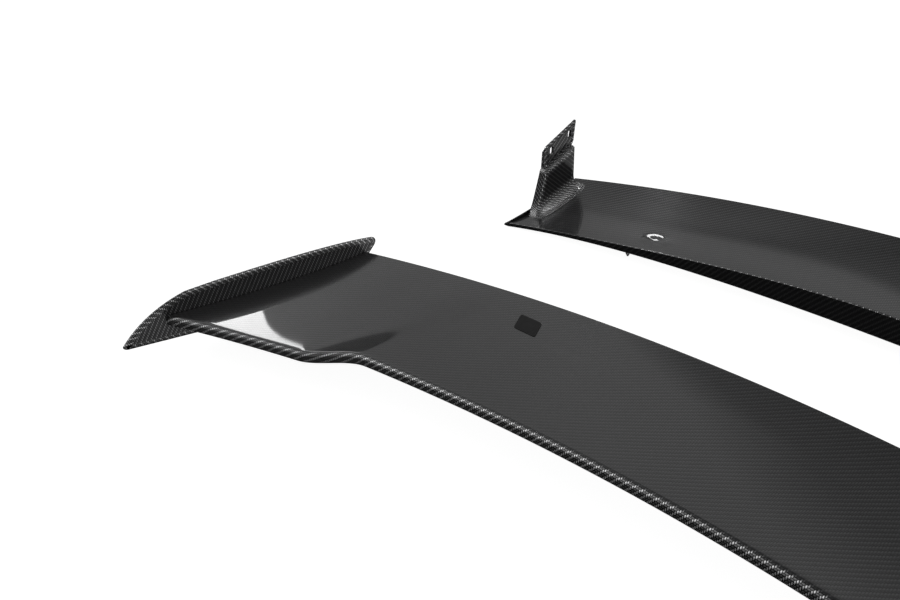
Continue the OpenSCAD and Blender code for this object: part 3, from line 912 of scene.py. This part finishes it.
# A thin pad on the blade: rings of a rounded square, |x|^p + |y|^p = s^p, shrink to a small middle and
# are sheared by lean. Its top follows the blade, and its rim drops in a quarter circle.
def makeCover(values=cover):
    angle = np.arange(values["sides"]) * 2 * math.pi / values["sides"]
    c, s = np.cos(angle), np.sin(angle)
    reach = (np.abs(c) ** values["power"] + np.abs(s) ** values["power"]) ** (-1 / values["power"])
    halfX, halfY = values["size"][0] / 2, values["size"][1] / 2
    edge = np.linspace(0, math.pi / 2, 5)
    shoulder = 0.96 + 0.04 * np.sin(edge)
    scale = np.concatenate([[0.02], np.linspace(0.1, 0.93, values["rings"]), shoulder, [1.0, 0.02]])
    rise = np.concatenate([np.full(values["rings"] + 1, values["thick"]),
                           values["thick"] * np.cos(edge), [0, 0]])
    # A shallow frame line runs inside the rim
    rise[values["rings"] - 1] -= values["lineDepth"]
    back = halfY * scale[:, None] * (reach * s)[None]
    x = values["x"] + halfX * scale[:, None] * (reach * c)[None] + values["lean"] * back
    y = values["y"] - midY + back
    z = bladeTop(x, bladeShare(x, y)) + 0.1 + rise[:, None]
    points = np.stack([x, y, z], -1)
    u = np.concatenate([x, x[:, :1]], 1)
    v = np.concatenate([y, y[:, :1]], 1)
    return stackSolid("blank_cover", points, u, v)


place(makeCover(), "upper_wing", "black_trim", trim, "label_plate")


deck = {
    "stations": 481,
    "bandSteps": 14,
    "deckSteps": 60,
    "lipR": 3.0,
    "lipShare": 0.9,
    "lipSteps": 9,
    "dimple": {"x": 533.0, "y": 489.0, "wide": 20.0, "long": 11.0, "deep": 3.4},
}


# A shallow bell-shaped hollow over each outer stud.
def dimpleDrop(x, y, values=deck["dimple"]):
    far = ((np.abs(x) - values["x"]) / values["wide"]) ** 2 + ((y - values["y"] + midY) / values["long"]) ** 2
    return values["deep"] * np.exp(-far)


# Lower skin: the front band rises with a slight bulge to a rounded lip, the deck climbs
# from it to the trailing edge as 0.15 t + 0.85 t squared, and the inside follows one wall below.
def makeDeck(values=deck):
    xs, xCol = stationsTo(lower["end"], values["stations"])
    b = np.linspace(0, 1, values["bandSteps"])[None]
    t = np.linspace(0, 1, values["deckSteps"])[None]
    bulge = 4 * lower["bulge"] * b * (1 - b)
    band = pairs(mix(bandY(xCol), lipY(xCol), b) - bulge, mix(bandLow(xCol), lipZ(xCol), b))
    y, z = deckY(xCol, t), deckZ(xCol, t)
    top = pairs(y, z - dimpleDrop(xCol, y) * smooth(t / 0.04))
    reach = np.minimum(values["lipR"], 0.45 * bandTall(xs))
    lip = lipCorner(band, top, reach)
    keepBand = band[:, :-1]
    below = top[:, ::-3] - pairs(-skinThickness * (1 - t[:, ::-3]), skinThickness)
    bandIn = band[:, :-2][:, ::-3] + [skinThickness, 0]
    corner = roundCorner(top[:, -2], top[:, -1], below[:, 0], 0.7, 5)
    section = along([keepBand, lip, top[:, 2:-1], corner, below, bandIn])
    first = keepBand.shape[1]
    # Painted highlight along the rounded lip, faint over the rest of the skin.
    paintedGlintMask = np.full(section.shape[1], 0.05)
    paintedGlintMask[first + 2:first + 8] = [0.2, 0.5, 0.8, 0.8, 0.5, 0.2]
    return spanSolid("lower_top_laminate", xs, section, first + 6, paintedGlintMask)


# Rounded lip whose reach follows the band's height, from the last band step to the second deck step.
def lipCorner(band, top, reach):
    corner = band[:, -1]
    ends = []
    for other in (band[:, -2], top[:, 1]):
        edge = other - corner
        length = np.linalg.norm(edge, axis=1)
        ends.append(corner + edge * (deck["lipShare"] * np.minimum(reach, length) / length)[:, None])
    t = np.linspace(0, 1, deck["lipSteps"])[None, :, None]
    return (1 - t) ** 2 * ends[0][:, None] + 2 * t * (1 - t) * corner[:, None] + t * t * ends[1][:, None]


panel = {"stations": 241, "steps": 14}


# Floor panel: straight from behind the band to the foot of the rear wall.
def makePanel(values=panel):
    xs, xCol = stationsTo(lower["end"], values["stations"])
    y = mix(bandY(xCol) + skinThickness + 0.15, footY(xCol), np.linspace(0, 1, values["steps"])[None])
    low = pairs(y, floorAt(xCol, y))
    high = low[:, ::-1] + [0, skinThickness]
    section = along([low[:, :-1], roundCorner(low[:, -2], low[:, -1], high[:, 0], 0.6, 4), high])
    return spanSolid("floor_laminate", xs, section, 0)


# Rear wall: a flat web that leans back from the floor's rear edge to just under the trailing edge.
def makeRearWall(values=panel):
    xs, xCol = stationsTo(lower["end"], values["stations"])
    s = np.linspace(0, 1, values["steps"])[None]
    y0, z0 = footY(xCol), footZ(xCol) + skinThickness + 0.15
    y1 = tailY(xCol) - 5
    y2 = y1 - 2 * skinThickness
    z1, z2 = deckAt(xCol, y1) - skinThickness - 0.3, deckAt(xCol, y2) - skinThickness - 0.3
    front = pairs(mix(y0 - 2 * skinThickness, y2, s), mix(z0, z2, s))
    back = pairs(mix(y1, y0, s), mix(z1, z0, s))
    return spanSolid("rear_wall_laminate", xs, along([front, back]), 0)


place(makeDeck(), "lower_wing", "carbon", carbon, *fourPanels("lower_top_skin"))
place(makePanel(), "lower_wing", "carbon", carbon, "lower_bottom_panel")
place(makeRearWall(), "lower_wing", "carbon", carbon, "lower_rear_wall")
print("lower skins made")


pylon = {
    "slope": math.radians(26),
    "slotPitch": 38.9,
    "slotW": 6.6,
    "slotL": 12.0,
    "frontSlot": (491.0, 99.0),    # before the layout is centred
    "footEnds": (39.0, 40.0),      # before and behind the front slot
    "tall": 66.0,
    "wall": 2.0,
    "tabT": 3.5,
    "tabRecess": (3.2, 0.6, -1),
    "plateStep": 0.8,
    "plateSoften": 1.0,
    "cornerR": 3.2,
    "topR": 4.5,
    "outerTopR": 0.8,
    "flareIn": 15.0,
    "flareEnds": (7.0, 13.0),
    "flareR": 24.0,
    "levels": 40,
    "footR": 7.0,
    "paintedGlintWidth": 7.0,         # width of the tight curves with painted highlights
}


# A point in Y and Z, a mm along the slots' line from the front slot and up mm above it.
def onSlope(a, up, values=pylon):
    y0, z0 = values["frontSlot"]
    return np.array([y0 - midY + a * math.cos(values["slope"]), z0 + a * math.sin(values["slope"]) + up])


# Shell of a pylon: rounded rectangles in plan from the deck to the sloped shoulder. Near the deck they
# swell by a fillet of radius flareR, inboard and at both ends. The top edge turns in a quarter circle of
# topR, pressed to outerTopR on the outboard side.
def makePylon(side, values=pylon):
    front, rear = onSlope(-23, -15), onSlope(values["slotPitch"] + 3, -15)
    baseFront = values["frontSlot"][0] - midY - values["footEnds"][0]
    baseRear = values["frontSlot"][0] - midY + values["footEnds"][1]
    s = np.concatenate([np.linspace(0, 1, values["levels"]) ** 1.5, np.ones(6)])
    turn = np.concatenate([np.zeros(values["levels"]), np.linspace(0, math.pi / 2, 7)[1:]])
    high = s * values["tall"]
    swell = 1 - np.sqrt(np.clip(1 - (1 - np.clip(high / values["flareR"], 0, 1)) ** 2, 0, 1))
    inset = values["topR"] * (1 - np.cos(turn))
    x0 = pylonBox[0][0] + 0 * s - values["flareIn"] * swell + inset
    x1 = pylonBox[1][0] - 0.05 - values["outerTopR"] * (1 - np.cos(turn)) + 0 * s
    y0 = mix(baseFront + 1.5, front[0], s) - values["flareEnds"][0] * swell + inset
    y1 = mix(baseRear - 1.5, rear[0], s) + values["flareEnds"][1] * swell - inset
    ring = roundRect(x0, x1, y0, y1, values["cornerR"] + values["footR"] * swell, 14)
    x, y = ring[..., 0], ring[..., 1]
    shoulder = front[1] + (y - front[0]) * math.tan(values["slope"]) - values["topR"]
    z = mix(deckAt(x, y) + 0.05, shoulder, s[:, None]) + (values["topR"] * np.sin(turn))[:, None]
    points = np.stack([x, y, z], -1)
    step = np.linalg.norm(np.roll(points, -1, 1) - points, axis=2)
    u = np.concatenate([np.zeros((len(s), 1)), np.cumsum(step, 1)], 1)
    v = np.concatenate([z, z[:, :1]], 1)
    # Painted highlight on the tows at both ends, along the top edge and round the foot, faint elsewhere.
    middle = 0.5 * (y.max(1) + y.min(1))[:, None]
    half = 0.5 * np.ptp(y, axis=1)[:, None] - values["paintedGlintWidth"]
    ends = smooth((np.abs(y - middle) - half) / 2.0)
    foot = (1 - smooth((high - values["flareR"] * 0.6) / (0.5 * values["flareR"])))[:, None]
    top = smooth((z - (shoulder - values["paintedGlintWidth"] + 2)) / 2.0)
    paintedGlintMask = np.clip(0.12 + np.maximum(np.maximum(ends, top), foot), 0, 1)
    points[..., 0] *= side
    shell = stackSolid("pylon_laminate_" + sideWord[side], points, u, v, paintedGlintMask)
    return place(shell, "lower_wing", "carbon", carbon, "pylon_" + sideWord[side])


# A stadium: two half circles joined by straight sides.
def slotLoop(centre, values=pylon):
    a = np.linspace(0, math.pi, 17)
    r, lift = values["slotW"] / 2, (values["slotL"] - values["slotW"]) / 2
    upperHalf = np.stack([r * np.cos(a), lift + r * np.sin(a)], -1)
    return np.concatenate([upperHalf, -upperHalf]) + centre


# Mounting tab: a plate with two slots, a raised rim and a recessed inner face.
def makeTab(side, values=pylon):
    pitch = values["slotPitch"]
    loop = np.concatenate([
        [onSlope(-16, -26), onSlope(pitch + 0.5, -26), onSlope(pitch + 9, -15)],
        bend(onSlope(pitch + 12, 8), onSlope(pitch + 14, 17), onSlope(pitch + 8, 15), 12),
        [onSlope(-13, 14), onSlope(-15.5, 12)]])
    out = pylonBox[1][0] - values["wall"]
    slots = [slotLoop(onSlope(a, 0)) for a in (0, pitch)]
    loop = evenLoop(loop, values["plateStep"], values["plateSoften"])
    tab = roundedPlate("tab_laminate_" + sideWord[side], loop, out - values["tabT"], out, 1.0, side, slots,
                       recess=values["tabRecess"])
    return place(tab, "lower_wing", "carbon", carbon, "mounting_tab_" + sideWord[side])


# The shell's outer wall, which runs up beside the tab and stops short of its top.
def makeCheek(side, values=pylon):
    pitch = values["slotPitch"]
    loop = np.array([onSlope(-19, -23), onSlope(pitch + 2, -23), onSlope(pitch + 8, 8), onSlope(-17, 9)])
    out = pylonBox[1][0]
    slots = [slotLoop(onSlope(a, 0)) for a in (0, pitch)]
    loop = evenLoop(loop, values["plateStep"], values["plateSoften"])
    cheek = roundedPlate("cheek_laminate_" + sideWord[side], loop, out - values["wall"] + 0.02, out, 0.8,
                         side, slots, rimBand=0.6)
    return place(cheek, "lower_wing", "carbon", carbon)


winglet = {"stations": 24, "sideSteps": 14, "taper": 0.85}


# Pointed lip past the pylon: a softened five-sided root closes to a small blade-like tip.
def makeWinglet(side, values=winglet):
    x0, x1 = pylonBox[1][0] + 0.01, lower["tip"]
    baseFront = pylon["frontSlot"][0] - midY - pylon["footEnds"][0]
    root = np.array([[bandY(x0), bandLow(x0)], [bandY(x0) - 1, lipZ(x0) - 1], [bandY(x0) + 12, lipZ(x0) + 4],
                     [baseFront + 10, lipZ(x0) + 12], [baseFront + 10, bandLow(x0) + 3]])
    tipY = bandY(x1) + 4
    tip = np.array([[tipY, 0.4], [tipY, 2.0], [tipY + 1.5, 3.0], [tipY + 5, 3.0], [tipY + 5, 0.6]])
    share = np.linspace(0, 1, values["sideSteps"], endpoint=False)[None, :, None]

    def spread(corners):
        after = np.roll(corners, -1, 0)
        return (corners[:, None] * (1 - share) + after[:, None] * share).reshape(-1, 2)

    k = (np.linspace(0, 1, values["stations"]) ** values["taper"])[:, None, None]
    section = spread(root)[None] * (1 - k) + spread(tip)[None] * k
    xs = np.linspace(x0, x1, values["stations"]) * side
    if side < 0:
        xs, section = xs[::-1], section[::-1]
    lip = spanSolid("winglet_laminate_" + sideWord[side], xs, section, 0)
    return place(lip, "lower_wing", "carbon", carbon, "winglet_" + sideWord[side])


for side in (-1, 1):
    makePylon(side)
    makeTab(side)
    makeCheek(side)
    makeWinglet(side)
print("pylons made")


finishes = {"raw_carbon": carbonBare, "core_foam": foam, "zinc_steel": steel, "bonding_tape": tape}
for row in frame["record"]["subparts"]:
    node = frame["nodes"][row["node"]]
    if row["material_slot"] in finishes and not node.hide_render:
        node.data.materials.clear()
        node.data.materials.append(finishes[row["material_slot"]])
print("carried-over nodes finished")


studio = {
    "floorHalf": 6.0,      # metres
    "floorGlow": 0.95,
    "floorShade": 0.35,
    "skyShade": 0.45,
    # Height as the sine of the elevation, and the brightness reflections see there
    "reflected": [(-1.0, 0.02), (1.0, 0.08), (-0.02, 0.02), (0.18, 0.02), (0.205, 0.20), (0.40, 0.32),
                  (0.53, 0.48), (0.60, 0.52), (0.66, 0.22), (0.85, 0.10)],
    # Soft lights seen in reflections: bearing from +Y towards +X, elevation, inner and outer
    # radius, all in degrees, and brightness
    "lobes": [(-76, 48, 8, 20, 0.22), (-122, 38, 10, 24, 1.1), (30, 48, 10, 26, 0.8), (138, -12, 12, 26, 0.7),
              (55, -12, 8, 26, 0.5)],
    # A small panel over the left dimple, which shows as a spark inside it
    "glint": [(-0.018, -0.009), (0.018, -0.009), (0.018, 0.009), (-0.018, 0.009)],
    # A concave-edged panel off the left end, behind the wing
    "panel": [(-0.120, -0.060), (-0.027, -0.045), (-0.014, -0.012), (-0.005, 0.008),
              (0.008, 0.028), (0.026, 0.050), (0.045, 0.068), (0.070, 0.090),
              (0.070, 0.150), (-0.060, 0.100), (-0.120, 0.030)],
}


# A flat face that glows evenly and has no shine of its own.
def glowSheet(name, points, shade, glow):
    mesh = bpy.data.meshes.new(name)
    mesh.from_pydata(points, [], [tuple(range(len(points)))])
    sheet = bpy.data.objects.new(name, mesh)
    bpy.context.scene.collection.objects.link(sheet)
    material, _, shader = startMaterial(name + " glow")
    shader.inputs["Base Color"].default_value = (shade, shade, shade, 1.0)
    shader.inputs["Roughness"].default_value = 1.0
    shader.inputs["Specular IOR Level"].default_value = 0.0
    shader.inputs["Emission Color"].default_value = (1.0, 1.0, 1.0, 1.0)
    shader.inputs["Emission Strength"].default_value = glow
    mesh.materials.append(material)
    return sheet


def makeFloor(values=studio):
    size = values["floorHalf"]
    corners = [(-size, -size, 0), (size, -size, 0), (size, size, 0), (-size, size, 0)]
    floor = glowSheet("floor", corners, values["floorShade"], values["floorGlow"])
    floor.visible_glossy = False
    floor.visible_diffuse = False


# White to the camera, an even grey to matt surfaces. In reflections it brightens from the horizon up to a
# band at about 40 degrees and then darkens towards the zenith; height is the sine of the elevation.
def makeSky(values=studio):
    world = bpy.data.worlds.new("studio")
    world.use_nodes = True
    bpy.context.scene.world = world
    w = Wiring(world.node_tree)
    background = world.node_tree.nodes["Background"]
    direction = w.node("ShaderNodeTexCoord").outputs["Generated"]
    split = w.node("ShaderNodeSeparateXYZ")
    w.put(split.inputs[0], direction)
    ramp = w.node("ShaderNodeValToRGB")
    w.put(ramp.inputs[0], w.math("MULTIPLY_ADD", split.outputs[2], 0.5, 0.5))
    for k, (height, level) in enumerate(values["reflected"]):
        stop = ramp.color_ramp.elements[k] if k < 2 else ramp.color_ramp.elements.new(1.0)
        stop.position = 0.5 + 0.5 * height
        stop.color = (level, level, level, 1.0)
    levels = w.node("ShaderNodeSeparateColor")
    w.put(levels.inputs[0], ramp.outputs["Color"])
    glossy = levels.outputs[0]
    for bearing, elevation, inner, outer, glow in values["lobes"]:
        b, e = math.radians(bearing), math.radians(elevation)
        near = w.node("ShaderNodeVectorMath", operation="DOT_PRODUCT")
        w.put(near.inputs[0], direction)
        near.inputs[1].default_value = (math.sin(b) * math.cos(e), math.cos(b) * math.cos(e), math.sin(e))
        lobe = w.span(near.outputs["Value"], math.cos(math.radians(outer)),
                      math.cos(math.radians(inner)), 0.0, glow)
        glossy = w.math("ADD", glossy, lobe)
    ray = w.node("ShaderNodeLightPath").outputs
    value = w.math("ADD", w.math("MULTIPLY", ray["Is Glossy Ray"], glossy),
                   w.math("MULTIPLY", w.math("SUBTRACT", 1.0, ray["Is Glossy Ray"]), values["skyShade"]))
    value = w.math("MAXIMUM", value, ray["Is Camera Ray"])
    shade = w.node("ShaderNodeCombineColor")
    for k in range(3):
        w.put(shade.inputs[k], value)
    w.put(background.inputs["Color"], shade.outputs[0])


# A flat glowing panel seen only in reflections, drawn as an outline of (across, up) in metres.
def addPanel(name, middle, facing, outline, glow):
    facing = np.array(facing, float) / np.linalg.norm(facing)
    across = np.cross(facing, [0, 0, 1])
    across /= np.linalg.norm(across)
    rise = np.cross(across, facing)
    points = [tuple(np.array(middle) + a * across + b * rise) for a, b in outline]
    panelObj = glowSheet(name, points, 0.0, glow)
    panelObj.visible_camera = False
    panelObj.visible_diffuse = False
    panelObj.visible_shadow = False


makeFloor()
makeSky()
addPanel("left panel", (-1.665, 0.343, 0.497), (-0.804, 0.487, 0.342), studio["panel"], 6.0)
addPanel("deck glint", (-0.692, 0.357, 0.215), (-0.57, 0.356, 0.743), studio["glint"], 14.0)
bpy.context.scene.view_settings.view_transform = "Standard"
bpy.context.scene.view_settings.look = "None"
print("floor and light placed")
